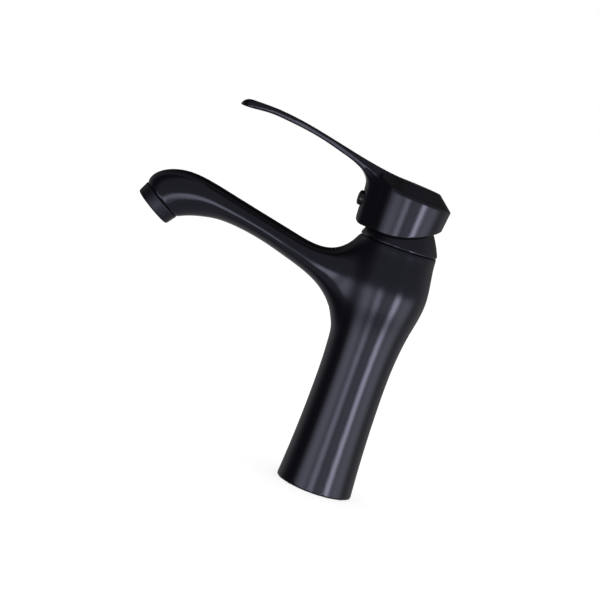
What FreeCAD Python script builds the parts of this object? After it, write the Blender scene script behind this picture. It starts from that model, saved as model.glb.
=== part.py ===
"""Single-lever bathroom mixer faucet, deck mounted, with a ceramic disc cartridge and an aerator.

Millimetres. The origin is the centre of the base on the deck, +Z is up and the spout points along -Y.
The lever lies in its closed position, over the spout.
"""

import FreeCAD
import Part
import Sketcher
import math
import os

V = FreeCAD.Vector

SIZES = [
    # Column and head of the casting
    ("base_radius", 23.3, "column radius on the deck"),
    ("waist_radius", 20.55, "thinnest column radius"),
    ("waist_height", 68.0, "height of the waist"),
    ("flare_radius", 23.8, "column radius halfway up the flare"),
    ("flare_height", 106.0, "height halfway up the flare"),
    ("ridge_radius", 26.45, "largest radius of the head"),
    ("ridge_height", 124.0, "height of the largest radius"),
    ("shoulder_radius", 24.45, "head radius above the ridge"),
    ("shoulder_height", 142.0, "height of that radius"),
    ("neck_radius", 23.6, "radius at the top of the casting"),
    ("neck_height", 152.0, "height of the top of the casting"),
    # Spout outline, seen from the side: reach from the column axis and height
    ("spout_half_width", 13.6, "half the spout's width along its run"),
    ("root_reach", 22.5, "reach where the spout leaves the head"),
    ("root_top", 152.5, "height of the spout's top line there"),
    ("root_bottom", 95.5, "height of the spout's underside there"),
    ("root_half_width", 16.3, "half the spout's width there"),
    ("saddle_reach", 44.0, "reach of the lowest point of the spout's top line"),
    ("saddle_height", 137.6, "height of that point"),
    ("saddle_depth", 19.7, "spout height there"),
    ("crest_reach", 128.0, "reach of the highest point of the spout's top line"),
    ("crest_height", 153.7, "height of that point"),
    ("arch_reach", 100.0, "reach of the highest point of the spout's underside"),
    ("arch_height", 132.4, "height of that point"),
    ("throat_reach", 30.0, "reach of the hollow curve where the underside leaves the column"),
    ("throat_height", 107.7, "height of that point"),
    ("throat_depth", 35.5, "spout height there"),
    ("seam_reach", 139.85, "reach of the centre of the spout's mouth"),
    ("seam_height", 133.05, "height of the centre of the spout's mouth"),
    ("mouth_radius", 13.1, "radius of the spout's mouth"),
    ("mouth_tilt", 32.0, "angle of the mouth's axis from the vertical, in degrees"),
    # Hollows of the casting
    ("hose_cavity_radius", 17.0, "radius of the space for the hoses"),
    ("hose_cavity_height", 58.0, "height of that space"),
    ("inlet_block_height", 18.0, "height of the block that holds the inlet and stud threads"),
    ("inlet_spread", 7.5, "sideways place of the two inlets"),
    ("inlet_setback", 4.0, "place of the inlets behind the axis"),
    ("inlet_thread_radius", 4.5, "wall radius of the inlet threads"),
    ("inlet_thread_length", 14.0, "length of the inlet threads"),
    ("inlet_bore_radius", 3.4, "radius of the inlet waterways"),
    ("stud_forward", 9.5, "place of the fixing stud's hole in front of the axis"),
    ("stud_thread_radius", 3.4, "wall radius of the stud's thread"),
    ("stud_thread_length", 16.0, "length of the stud's thread"),
    ("seat_height", 118.0, "height of the cartridge's seat"),
    ("cartridge_radius", 17.4, "radius of the cartridge"),
    ("cartridge_play", 0.2, "radial play of the cartridge in its bore"),
    ("nut_thread_radius", 18.5, "wall radius of the nut's thread in the casting"),
    ("nut_thread_bottom", 144.0, "height where that thread starts"),
    ("outlet_forward", 8.0, "place of the outlet in front of the axis"),
    ("waterway_radius", 3.9, "radius of the waterway to the spout"),
    ("sump_depth", 15.0, "depth of the outlet well below the seat"),
    ("gasket_groove_radius", 20.2, "mean radius of the gasket's groove in the base"),
    ("gasket_width", 2.6, "width of the base gasket"),
    ("gasket_depth", 1.8, "thickness of the base gasket"),
    ("seal_play", 0.1, "play of a seal in its groove"),
    # Cartridge
    ("cartridge_base_height", 6.0, "thickness of the cartridge's base"),
    ("port_seal_radius", 4.6, "mean radius of a port's seal"),
    ("port_seal_width", 1.4, "width of a port's seal"),
    ("port_seal_depth", 1.2, "thickness of a port's seal"),
    ("peg_radius", 1.5, "radius of the locating pegs"),
    ("peg_length", 2.4, "length of the locating pegs"),
    ("peg_spread", 11.5, "sideways place of the pegs"),
    ("peg_setback", 7.0, "place of the pegs in front of the axis"),
    ("fit_play", 0.1, "play between parts that are put together by hand"),
    ("housing_wall", 1.8, "wall of the cartridge's housing"),
    ("housing_height", 22.0, "height of the cartridge's housing"),
    ("housing_roof", 3.0, "thickness of the housing's top wall"),
    ("disc_thickness", 4.0, "thickness of each ceramic disc"),
    ("moving_disc_radius", 12.0, "radius of the sliding ceramic disc"),
    ("mixing_chamber_radius", 7.4, "radius of the mixing chamber under that disc"),
    ("mixing_chamber_depth", 2.4, "depth of the mixing chamber"),
    ("slide_play", 0.03, "film of water between sliding faces"),
    ("carrier_height", 4.8, "thickness of the disc's carrier"),
    ("carrier_seal_radius", 9.6, "mean radius of the carrier's seal"),
    ("carrier_seal_width", 1.6, "width of the carrier's seal"),
    ("carrier_seal_depth", 1.2, "thickness of the carrier's seal"),
    ("neck_fit", 0.06, "radial running play of the rotor's neck"),
    ("rotor_neck_radius", 11.0, "radius of the rotor's neck"),
    ("rotor_flange_height", 4.6, "thickness of the rotor's flange"),
    ("rotor_top", 156.0, "height of the rotor's top"),
    ("glide_thickness", 0.8, "thickness of the rotor's glide ring"),
    ("glide_play", 0.15, "play above the rotor's glide ring"),
    ("pivot_height", 144.0, "height of the lever's pivot"),
    ("pin_radius", 2.0, "radius of the pivot pin"),
    ("pin_length", 20.0, "length of the pivot pin"),
    ("pin_fit", 0.04, "radial running play of the stem on the pin"),
    ("stem_lean", 12.5, "lean of the stem when closed, in degrees"),
    ("stem_side", 8.0, "side of the stem's square shank"),
    ("stem_length", 37.0, "length of the shank above the pivot"),
    ("stem_side_play", 0.3, "play of the stem in the rotor's slot"),
    ("slot_extra", 5.6, "length that the stem's travel adds to the rotor's slot"),
    ("finger_length", 7.5, "distance from the pivot to the ball of the stem"),
    ("finger_radius", 2.3, "radius of the stem's finger"),
    ("ball_radius", 2.9, "radius of the stem's ball"),
    ("ball_play", 0.25, "play of the ball in the carrier"),
    ("nut_bore_radius", 12.6, "bore of the nut"),
    ("nut_collar_radius", 17.2, "radius of the nut's collar"),
    ("nut_collar_height", 4.2, "height of the nut's collar"),
    ("ring_cord_radius", 0.9, "cord radius of the bonnet's O-ring"),
    ("spanner_slot", 4.0, "width of the nut's spanner slots"),
    # Bonnet
    ("bonnet_lip", 1.2, "height of the bonnet's straight lip"),
    ("bonnet_knee_radius", 21.6, "bonnet radius halfway up"),
    ("bonnet_knee_height", 157.6, "height of that radius"),
    ("bonnet_rim_radius", 17.2, "bonnet radius at its upper rim"),
    ("bonnet_top", 165.2, "height of the bonnet's upper rim"),
    ("bonnet_wall", 1.6, "wall of the bonnet"),
    # Handle
    ("cap_radius", 23.3, "radius of the handle's round part, at the bonnet's rim"),
    ("cap_forward", 2.9, "place of the round part's axis in front of the column axis, at the bonnet's rim"),
    ("cap_lean", 2.0, "backward lean of the round part, in degrees"),
    ("cap_draft", 4.5, "slope of the round part's wall, which widens upwards, in degrees"),
    ("bevel_lean", 3.5, "backward lean of the bevel, in degrees"),
    ("cap_edge_height", 182.0, "height of the edge below the round part's bevel"),
    ("cap_bevel_width", 10.0, "width of that bevel"),
    ("cap_bevel_height", 7.6, "height of that bevel"),
    ("skirt_front_height", 157.2, "height of the skirt's lower edge in front"),
    ("skirt_back_height", 165.6, "height of the skirt's lower edge behind"),
    ("skirt_wall", 1.2, "wall of the skirt"),
    ("handle_roof_front", 167.0, "height of the hollow under the handle in front"),
    ("handle_roof_back", 174.0, "height of the hollow under the handle behind"),
    ("roof_step_forward", 2.4, "place of the step between them, in front of the column axis"),
    ("nose_reach", 30.7, "reach of the handle's nose"),
    ("nose_lean", 3.0, "forward lean of the nose, in degrees"),
    ("nose_corner", 3.0, "rounding of the nose's lower front corner"),
    ("nose_front_radius", 13.0, "radius of the nose's rounded front"),
    ("nose_rise", 2.0, "height to which the nose runs up into the lever, over the round part's edge"),
    ("blade_root_height", 189.6, "height of the lever's top over the axis"),
    ("blade_tip_reach", 114.4, "reach of the lever's tip"),
    ("blade_tip_height", 204.9, "height of the lever's top near the tip"),
    ("blade_thickness", 3.6, "thickness of the lever"),
    ("blade_half_width", 9.4, "half the lever's width at the nose"),
    ("blade_tip_half_width", 8.2, "half the lever's width near the tip"),
    ("screw_height", 171.8, "height of the set screw"),
    ("screw_radius", 2.5, "radius of the set screw"),
    ("screw_length", 12.0, "length of the set screw"),
    ("screw_bite", 1.2, "depth of the set screw's dimple in the stem"),
    ("plug_radius", 4.5, "radius of the index plug"),
    ("plug_depth", 4.0, "depth of the index plug in the nose"),
    ("plug_crown", 1.7, "height of the index plug's crown"),
    # Aerator
    ("collar_height", 7.4, "height of the aerator's visible collar"),
    ("collar_end_radius", 12.5, "radius at the collar's lower end"),
    ("collar_edge_round", 1.2, "rounding of the collar's lower edge"),
    ("seam_groove", 0.4, "bevel that makes the dark line at the seam"),
    ("aerator_thread_radius", 11.8, "radius of the aerator's thread"),
    ("aerator_thread_length", 5.4, "length of the aerator's thread"),
    ("aerator_bore_radius", 10.4, "bore of the aerator's housing"),
    ("aerator_lip", 1.2, "thickness and width of the housing's inner lip"),
    ("washer_thickness", 1.4, "thickness of the aerator's washer"),
    ("screen_thickness", 1.2, "thickness of the aerator's screen"),
    ("screen_hole_radius", 0.6, "radius of the screen's holes"),
    ("screen_hole_pitch", 1.9, "distance between rings of the screen's holes"),
    ("mouth_chamber_radius", 8.6, "radius of the water chamber above the aerator"),
    ("mouth_chamber_depth", 5.0, "depth of that chamber"),
]

doc = FreeCAD.newDocument("MixerFaucet")
sheet = doc.addObject("Spreadsheet::Sheet", "Sizes")
for line, (alias, number, note) in enumerate(SIZES, start=1):
    sheet.set(f"A{line}", note)
    sheet.set(f"B{line}", str(number))
    sheet.setAlias(f"B{line}", alias)
doc.recompute()


class Size:
    """A number in millimetres or degrees that keeps the sheet expression it comes from."""

    def __init__(self, text, value):
        self.text = text
        self.value = value

    def __add__(self, other):
        other = as_size(other)
        return Size(f"({self.text} + {other.text})", self.value + other.value)

    def __sub__(self, other):
        other = as_size(other)
        return Size(f"({self.text} - {other.text})", self.value - other.value)

    def __mul__(self, factor):
        other = as_size(factor)
        return Size(f"({self.text} * {other.text})", self.value * other.value)

    def __neg__(self):
        return Size(f"(-{self.text})", -self.value)


def as_size(item):
    """Takes a plain number or a Size and gives a Size."""
    return item if isinstance(item, Size) else Size(repr(float(item)), float(item))


class Sheet:
    """Gives each cell of the sheet as a Size under its alias."""

    def __getattr__(self, alias):
        return Size(f"Sizes.{alias}", float(getattr(sheet, alias)))


S = Sheet()
ZERO = as_size(0)


def bind(item, **links):
    """Binds properties of an object to sizes; a double underscore stands for a dot."""
    for name, length in links.items():
        item.setExpression(name.replace("__", "."), as_size(length).text)


def place(item, x=0, y=0, z=0, turn_x=None):
    """Places an object by sizes, and turns it about X by a size in degrees."""
    if turn_x is not None:
        item.Placement = FreeCAD.Placement(V(0, 0, 0), FreeCAD.Rotation(V(1, 0, 0), turn_x.value))
        bind(item, Placement__Rotation__Angle=turn_x)
    bind(item, Placement__Base__x=x, Placement__Base__y=y, Placement__Base__z=z)
    return item


def cylinder(name, radius, height, x=0, y=0, z=0, turn_x=None):
    item = doc.addObject("Part::Cylinder", name)
    bind(item, Radius=radius, Height=height)
    return place(item, x, y, z, turn_x)


def box(name, length, width, height, x=0, y=0, z=0, turn_x=None):
    item = doc.addObject("Part::Box", name)
    bind(item, Length=length, Width=width, Height=height)
    return place(item, x, y, z, turn_x)


def across(name, radius, length, z):
    """A cylinder along X, centred on the middle plane."""
    item = doc.addObject("Part::Cylinder", name)
    item.Placement = FreeCAD.Placement(V(0, 0, 0), FreeCAD.Rotation(V(0, 1, 0), 90))
    bind(item, Radius=radius, Height=length)
    return place(item, -length * 0.5, 0, z)


def fuse(name, pieces):
    item = doc.addObject("Part::MultiFuse", name)
    item.Shapes = pieces
    return item


def cut(name, base, tools):
    """Takes each tool away from the base in turn."""
    for tool in tools:
        item = doc.addObject("Part::Cut", name)
        item.Base = base
        item.Tool = tool
        base = item
    return base


def free_form(name, shape):
    item = doc.addObject("Part::Feature", name)
    item.Shape = shape
    return item


def turned(name, outline, y=0, z=0, turn_x=None):
    """A turned piece: a closed outline of (radius, height) corners swept about its own Z axis."""
    body = doc.addObject("PartDesign::Body", name)
    sketch = body.newObject("Sketcher::SketchObject", name + "_outline")
    plane = [p for p in body.Origin.OriginFeatures if p.Role == "XZ_Plane"][0]
    sketch.AttachmentSupport = [(plane, "")]
    sketch.MapMode = "FlatFace"
    corners = [(as_size(r), as_size(h)) for r, h in outline]
    count = len(corners)
    for index, (radius, height) in enumerate(corners):
        after = corners[(index + 1) % count]
        start = V(radius.value, height.value, 0)
        end = V(after[0].value, after[1].value, 0)
        sketch.addGeometry(Part.LineSegment(start, end), False)
    for index in range(count):
        sketch.addConstraint(Sketcher.Constraint("Coincident", index, 2, (index + 1) % count, 1))
    for index, (radius, height) in enumerate(corners):
        for kind, axis, length in (("DistanceX", -2, radius), ("DistanceY", -1, height)):
            if length.text == ZERO.text:
                sketch.addConstraint(Sketcher.Constraint("PointOnObject", index, 1, axis))
                continue
            row = sketch.addConstraint(Sketcher.Constraint(kind, -1, 1, index, 1, length.value))
            sketch.setExpression(f"Constraints[{row}]", length.text)
    spin = body.newObject("PartDesign::Revolution", name + "_turning")
    spin.Profile = sketch
    spin.ReferenceAxis = (sketch, ["V_Axis"])
    spin.Angle = 360
    body.Tip = spin
    return place(body, 0, y, z, turn_x)


def ring(name, inner, outer, bottom, height, **where):
    """A flat ring with a square section."""
    top = as_size(bottom) + height
    return turned(name, [(inner, bottom), (outer, bottom), (outer, top), (inner, top)], **where)


def at(reach, height, x=0.0):
    """A point by its reach in front of the column axis and its height."""
    return V(x, -reach, height)


def curve(points, start=None, end=None):
    """A smooth curve through points, with the directions of its ends where given."""
    spline = Part.BSplineCurve()
    ends = {}
    if start is not None and end is not None:
        ends = {"InitialTangent": start, "FinalTangent": end}
    spline.interpolate(Points=points, **ends)
    return spline.toShape()


def straight(first, second):
    return Part.LineSegment(first, second).toShape()


def outward(shape):
    """The solid of a sweep, with its faces pointing outwards."""
    shell = shape.Shells[0]
    if Part.Solid(shell).Volume < 0:
        shell.reverse()
    return Part.Solid(shell)


def spin(edges):
    """Sweeps a closed outline, drawn in the XZ plane, about the Z axis."""
    face = Part.Face(Part.Wire(edges))
    return outward(face.revolve(V(0, 0, 0), V(0, 0, 1), 360))


def push(edges, way):
    """Sweeps a closed flat outline along a straight way."""
    return outward(Part.Face(Part.Wire(Part.sortEdges(edges)[0])).extrude(way))


PARTS = {}


def keep(label, item):
    """Names an object as a sub-part of the faucet."""
    item.Label = label
    PARTS[label] = item
    return item


# The mouth of the spout: its own frame has Z pointing up into the spout
MOUTH = {"y": -S.seam_reach, "z": S.seam_height, "turn_x": -S.mouth_tilt}


def along_mouth(depth):
    """Reach and height of a point on the mouth's axis, depth above the seam."""
    angle = math.radians(S.mouth_tilt.value)
    reach = S.seam_reach.value - depth * math.sin(angle)
    return reach, S.seam_height.value + depth * math.cos(angle)


def column_form():
    """Column, flare, ridge and neck as one turned form."""
    foot = V(S.base_radius.value, 0, 0)
    waist = V(S.waist_radius.value, 0, S.waist_height.value)
    neck = V(S.neck_radius.value, 0, S.neck_height.value)
    lower = Part.BezierCurve()
    lower.setPoles([foot, V(waist.x, 0, waist.z / 2), waist])
    upper = curve(
        [
            waist,
            V(S.flare_radius.value, 0, S.flare_height.value),
            V(S.ridge_radius.value, 0, S.ridge_height.value),
            V(S.shoulder_radius.value, 0, S.shoulder_height.value),
            neck,
        ],
        V(0, 0, 1),
        V(0, 0, 1),
    )
    centre, top = V(0, 0, 0), V(0, 0, neck.z)
    return spin([straight(centre, foot), lower.toShape(), upper, straight(neck, top), straight(top, centre)])


def oval(top, bottom, half_width):
    """A closed oval section between a top and a bottom point of the spout."""
    centre = (top + bottom) * 0.5
    rise = (top - bottom) * 0.5
    points = []
    for degrees in range(0, 360, 15):
        angle = math.radians(degrees)
        points.append(centre + rise * math.cos(angle) + V(half_width * math.sin(angle), 0, 0))
    loop = Part.BSplineCurve()
    loop.interpolate(Points=points, PeriodicFlag=True)
    return Part.Wire([loop.toShape()])


def ease(share, power):
    """Goes from 0 to 1 with share, fast at first."""
    return 1 - (1 - share) ** power


def between(first, second, share):
    return first + (second - first) * share


def spout_form():
    """The spout: ovals that flare out of the head, run forward and turn down into the mouth."""
    width = S.spout_half_width.value
    saddle, saddle_top = S.saddle_reach.value, S.saddle_height.value
    saddle_bottom = saddle_top - S.saddle_depth.value
    throat, throat_bottom = S.throat_reach.value, S.throat_height.value
    throat_top = throat_bottom + S.throat_depth.value
    crest, crest_top = S.crest_reach.value, S.crest_height.value
    arch, arch_bottom = S.arch_reach.value, S.arch_height.value
    mouth = S.mouth_radius.value
    tilt = math.radians(S.mouth_tilt.value)
    seam = at(S.seam_reach.value, S.seam_height.value)
    mouth_top = seam + at(math.cos(tilt), math.sin(tilt)) * mouth
    mouth_bottom = seam - at(math.cos(tilt), math.sin(tilt)) * mouth

    # Root: the ovals start inside the head, and leave it as a wide hollow curve
    root_reach, root_width = S.root_reach.value, S.root_half_width.value
    root_top, root_bottom = S.root_top.value, S.root_bottom.value
    root_middle = (root_top + root_bottom) / 2
    stations = []
    for inward, top_share, bottom_share, widening in ((0.27, 0.74, 0.74, 1.23), (0.13, 0.9, 0.95, 1.1)):
        reach = root_reach * (1 - inward)
        top = between(root_middle, root_top, top_share)
        bottom = between(root_middle, root_bottom, bottom_share)
        stations.append((at(reach, top), at(reach, bottom), root_width * widening))
    stations.append((at(root_reach, root_top), at(root_reach, root_bottom), root_width))
    for share, flare in ((0.47, 1.6), (1.0, 1.0)):
        reach = between(root_reach, throat, share)
        top = between(root_top, throat_top, share)
        bottom = between(root_bottom, throat_bottom, ease(share, 1.3))
        stations.append((at(reach, top), at(reach, bottom), width + flare))
    reach = between(throat, saddle, 0.43)
    top = between(throat_top, saddle_top, ease(0.43, 2.5))
    bottom = between(throat_bottom, saddle_bottom, ease(0.43, 1.4))
    stations.append((at(reach, top), at(reach, bottom), width + 0.6))

    # Run: the top line swings up to the crest while the underside levels out at the arch
    for share, lead in ((0.0, 0.0), (0.28, 1.6), (0.64, 3.8), (1.0, 6.0)):
        reach = between(saddle, arch, share)
        rise = (reach + lead - saddle) / (crest - saddle)
        top = between(saddle_top, crest_top, (rise + rise * rise * (3 - 2 * rise)) / 2)
        bottom = between(saddle_bottom, arch_bottom, ease(share, 1.6))
        stations.append((at(reach + lead, top), at(reach, bottom), width))

    # Tip: a quarter of an ellipse over the top, and a hollow that turns down into the mouth
    for top_share, bottom_share in ((0.0, 0.42), (0.437, 0.66), (0.79, 0.85)):
        top = at(
            between(crest, -mouth_top.y, top_share),
            between(crest_top, mouth_top.z, 1 - math.sqrt(1 - top_share**2)),
        )
        bottom = at(
            between(arch, -mouth_bottom.y, bottom_share),
            between(arch_bottom, mouth_bottom.z, bottom_share**2.2),
        )
        stations.append((top, bottom, between(width, mouth, bottom_share)))
    stations.append((mouth_top, mouth_bottom, mouth))
    return outward(Part.makeLoft([oval(*station) for station in stations], True, False))


# Body casting
above_neck = box("above_neck", S.ridge_radius * 4, S.ridge_radius * 2, S.ridge_radius * 2,
                 -S.ridge_radius * 2, -(S.ridge_radius + S.neck_radius) * 0.75, S.neck_height)
spout = cut("spout_below_neck", free_form("spout_form", spout_form()), [above_neck])
casting_form = fuse("casting_form", [free_form("column_form", column_form()), spout])

cartridge_bore = S.cartridge_radius + S.cartridge_play
well_bottom = S.seat_height - S.sump_depth
joint_height = S.hose_cavity_height + S.inlet_block_height
hollows = [
    cylinder("hose_cavity", S.hose_cavity_radius, joint_height),
    cylinder("cartridge_bore", cartridge_bore, S.neck_height - S.seat_height, 0, 0, S.seat_height),
    cylinder("nut_thread", S.nut_thread_radius, S.neck_height - S.nut_thread_bottom,
             0, 0, S.nut_thread_bottom),
    cylinder("outlet_well", S.waterway_radius, S.sump_depth, 0, -S.outlet_forward, well_bottom),
    ring("gasket_groove", S.gasket_groove_radius - S.gasket_width * 0.5 - S.seal_play,
         S.gasket_groove_radius + S.gasket_width * 0.5 + S.seal_play, 0, S.gasket_depth),
    cylinder("mouth_bore", S.aerator_thread_radius + S.fit_play,
             S.aerator_thread_length + S.washer_thickness, **MOUTH),
]
block_holes = [cylinder("stud_hole", S.stud_thread_radius, S.stud_thread_length,
                        0, -S.stud_forward, S.hose_cavity_height)]
for side, sign in (("hot", -1), ("cold", 1)):
    block_holes.append(cylinder(side + "_thread", S.inlet_thread_radius, S.inlet_thread_length,
                                S.inlet_spread * sign, S.inlet_setback, S.hose_cavity_height))
    block_holes.append(cylinder(side + "_block_bore", S.inlet_bore_radius, S.inlet_block_height,
                                S.inlet_spread * sign, S.inlet_setback, S.hose_cavity_height))
    hollows.append(cylinder(side + "_bore", S.inlet_bore_radius, S.seat_height - joint_height,
                            S.inlet_spread * sign, S.inlet_setback, joint_height))
    hollows.append(cylinder(side + "_peg_hole", S.peg_radius + S.fit_play, S.peg_length + S.fit_play,
                            S.peg_spread * sign, -S.peg_setback,
                            S.seat_height - S.peg_length - S.fit_play))


def waterway():
    """The waterway from the outlet well along the middle of the spout to the chamber over the mouth."""
    radius = S.waterway_radius.value
    chamber_depth = S.aerator_thread_length.value + S.washer_thickness.value + S.mouth_chamber_depth.value
    chamber_floor = at(*along_mouth(chamber_depth))
    axis = at(*along_mouth(0)) - chamber_floor
    saddle_middle = S.saddle_height.value - S.saddle_depth.value / 2
    arch_top = between(S.saddle_height.value, S.crest_height.value, 0.75)
    route = [
        at(S.outlet_forward.value, S.seat_height.value - S.sump_depth.value + radius / 2),
        at(S.saddle_reach.value - 3, saddle_middle - 1.5),
        at(S.arch_reach.value + 3, (S.arch_height.value + arch_top) / 2),
        chamber_floor + axis * 0.35,
    ]
    shape = Part.makeCylinder(S.mouth_chamber_radius.value, axis.Length, chamber_floor, axis)
    for first, second in zip(route, route[1:]):
        shape = shape.fuse(Part.makeCylinder(radius, (second - first).Length, first, second - first))
        shape = shape.fuse(Part.makeSphere(radius, first))
    return shape


hollows.append(free_form("waterway", waterway()))
casting = cut("casting", casting_form, hollows)

# The casting's upper part is brazed to the column's shank where the inlet block ends
shank_side = S.base_radius * 4
shank_space = box("shank_space", shank_side, shank_side, joint_height, -shank_side * 0.5, -shank_side * 0.5)
keep("body_casting", cut("upper_casting", casting, [shank_space]))
shank = doc.addObject("Part::Common", "shank")
shank.Base = casting
shank.Tool = shank_space
keep("column_shank", shank)
block = cylinder("block", S.hose_cavity_radius - S.fit_play, S.inlet_block_height, 0, 0, S.hose_cavity_height)
keep("inlet_block", cut("block_with_threads", block, block_holes))
keep("base_gasket", ring("gasket", S.gasket_groove_radius - S.gasket_width * 0.5,
                         S.gasket_groove_radius + S.gasket_width * 0.5, 0, S.gasket_depth))

# Cartridge, fixed parts, from the seat up
PORTS = [(-S.inlet_spread, S.inlet_setback), (S.inlet_spread, S.inlet_setback), (ZERO, -S.outlet_forward)]
seal_inner = S.port_seal_radius - S.port_seal_width * 0.5
seal_outer = S.port_seal_radius + S.port_seal_width * 0.5
base_top = S.seat_height + S.cartridge_base_height


def port_rings(name, bottom, play):
    """A seal, or the groove that holds it, around each of the three ports."""
    rings = []
    for index, (x, y) in enumerate(PORTS):
        piece = ring(f"{name}_{index}", seal_inner - play, seal_outer + play, bottom, S.port_seal_depth)
        rings.append(place(piece, x, y, 0))
    return fuse(name, rings)


def port_bores(name, bottom, height):
    return [cylinder(f"{name}_{index}", S.inlet_bore_radius, height, x, y, bottom)
            for index, (x, y) in enumerate(PORTS)]


base_blank = [cylinder("base_disc", S.cartridge_radius, S.cartridge_base_height, 0, 0, S.seat_height)]
for sign in (-1, 1):
    base_blank.append(cylinder("base_peg", S.peg_radius, S.peg_length + S.fit_play * 2,
                               S.peg_spread * sign, -S.peg_setback, S.seat_height - S.peg_length))
upper_seal_bottom = base_top - S.port_seal_depth
keep("cartridge_base", cut("base_with_ports", fuse("base_blank", base_blank), [
    port_rings("lower_grooves", S.seat_height, S.seal_play),
    port_rings("upper_grooves", upper_seal_bottom, S.seal_play),
    *port_bores("base_port", S.seat_height, S.cartridge_base_height),
]))
keep("inlet_port_seals", port_rings("lower_seals", S.seat_height, ZERO))
keep("disc_port_seals", port_rings("upper_seals", upper_seal_bottom, ZERO))

housing_bore = S.cartridge_radius - S.housing_wall
housing_top = base_top + S.housing_height
roof_bottom = housing_top - S.housing_roof
keep("cartridge_housing", turned("housing", [
    (housing_bore, base_top),
    (S.cartridge_radius, base_top),
    (S.cartridge_radius, housing_top),
    (S.rotor_neck_radius + S.neck_fit, housing_top),
    (S.rotor_neck_radius + S.neck_fit, roof_bottom),
    (housing_bore, roof_bottom),
]))
disc_top = base_top + S.disc_thickness
keep("fixed_ceramic_disc", cut("fixed_disc_with_ports", cylinder(
    "fixed_disc", housing_bore - S.fit_play, S.disc_thickness, 0, 0, base_top),
    port_bores("fixed_port", base_top, S.disc_thickness)))

nut_top = S.neck_height + S.nut_collar_height
groove_radius = S.nut_collar_radius - S.ring_cord_radius
ring_height = S.neck_height + S.nut_collar_height * 0.5
nut_shape = turned("nut_ring", [
    (S.nut_bore_radius, housing_top),
    (S.nut_thread_radius - S.fit_play, housing_top),
    (S.nut_thread_radius - S.fit_play, S.neck_height),
    (S.nut_collar_radius, S.neck_height),
    (S.nut_collar_radius, ring_height - S.ring_cord_radius - S.seal_play),
    (groove_radius, ring_height - S.ring_cord_radius - S.seal_play),
    (groove_radius, ring_height + S.ring_cord_radius + S.seal_play),
    (S.nut_collar_radius, ring_height + S.ring_cord_radius + S.seal_play),
    (S.nut_collar_radius, nut_top),
    (S.nut_bore_radius, nut_top),
])
slots = []
for quarter in (0, 1):
    reach = S.nut_collar_radius * 2
    sides = (reach, S.spanner_slot) if quarter else (S.spanner_slot, reach)
    slots.append(box("spanner_slot", *sides, S.nut_collar_height * 0.25,
                     -sides[0] * 0.5, -sides[1] * 0.5, nut_top - S.nut_collar_height * 0.25))
keep("retaining_nut", cut("nut_with_slots", nut_shape, slots))

o_ring = doc.addObject("Part::Torus", "o_ring")
bind(o_ring, Radius1=groove_radius + S.ring_cord_radius + S.seal_play * 0.5, Radius2=S.ring_cord_radius)
keep("bonnet_o_ring", place(o_ring, 0, 0, ring_height))


def bonnet_form():
    """The bonnet: a straight lip, a domed cover and a collar that grips the O-ring."""
    bottom, top = S.neck_height.value, S.bonnet_top.value
    wall = S.bonnet_wall.value
    lip = bottom + S.bonnet_lip.value
    outer, rim = S.neck_radius.value, S.bonnet_rim_radius.value
    knee_radius, knee = S.bonnet_knee_radius.value, S.bonnet_knee_height.value
    grip = S.nut_collar_radius.value + S.ring_cord_radius.value + S.seal_play.value * 2
    grip_top = bottom + S.nut_collar_height.value
    dome_start = V(outer, 0, lip)
    dome_end = V(rim, 0, top)
    lining_start, lining_end = V(rim - wall, 0, top), V(grip + wall, 0, grip_top)
    corners = [dome_start, V(outer, 0, bottom), V(grip, 0, bottom), V(grip, 0, grip_top), lining_end]
    edges = [straight(a, b) for a, b in zip(corners, corners[1:])]
    edges.append(Part.Arc(lining_end, V(knee_radius - wall, 0, knee), lining_start).toShape())
    edges.append(straight(lining_start, dome_end))
    edges.append(Part.Arc(dome_end, V(knee_radius, 0, knee), dome_start).toShape())
    return spin(edges)


keep("bonnet_cover", free_form("bonnet", bonnet_form()))

# Sliding disc and its carrier: they start half a stroke behind the axis
lean = math.radians(S.stem_lean.value)
finger_back = Size(f"({S.finger_length.text} * sin({S.stem_lean.text} * 1deg))",
                   S.finger_length.value * math.sin(lean))
finger_drop = Size(f"({S.finger_length.text} * cos({S.stem_lean.text} * 1deg))",
                   S.finger_length.value * math.cos(lean))
moving_bottom = disc_top + S.slide_play
carrier_bottom = moving_bottom + S.disc_thickness
chamber = cylinder("mixing_chamber", S.mixing_chamber_radius, S.mixing_chamber_depth,
                   0, finger_back, moving_bottom)
keep("moving_ceramic_disc", cut("moving_disc_with_chamber", cylinder(
    "moving_disc", S.moving_disc_radius, S.disc_thickness, 0, finger_back, moving_bottom), [chamber]))
socket = (S.ball_radius + S.ball_play) * 2
seal_half = S.carrier_seal_width * 0.5
carrier_groove = ring("carrier_groove", S.carrier_seal_radius - seal_half - S.seal_play,
                      S.carrier_seal_radius + seal_half + S.seal_play,
                      carrier_bottom, S.carrier_seal_depth, y=finger_back)
keep("disc_carrier", cut("carrier_with_socket", cylinder(
    "carrier", S.moving_disc_radius, S.carrier_height, 0, finger_back, carrier_bottom), [
    carrier_groove,
    box("finger_socket", socket, socket, S.carrier_height, -socket * 0.5, finger_back - socket * 0.5,
        carrier_bottom + S.carrier_seal_depth),
]))
keep("carrier_seal", ring("carrier_seal_ring", S.carrier_seal_radius - seal_half,
                          S.carrier_seal_radius + seal_half, carrier_bottom, S.carrier_seal_depth,
                          y=finger_back))

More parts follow.
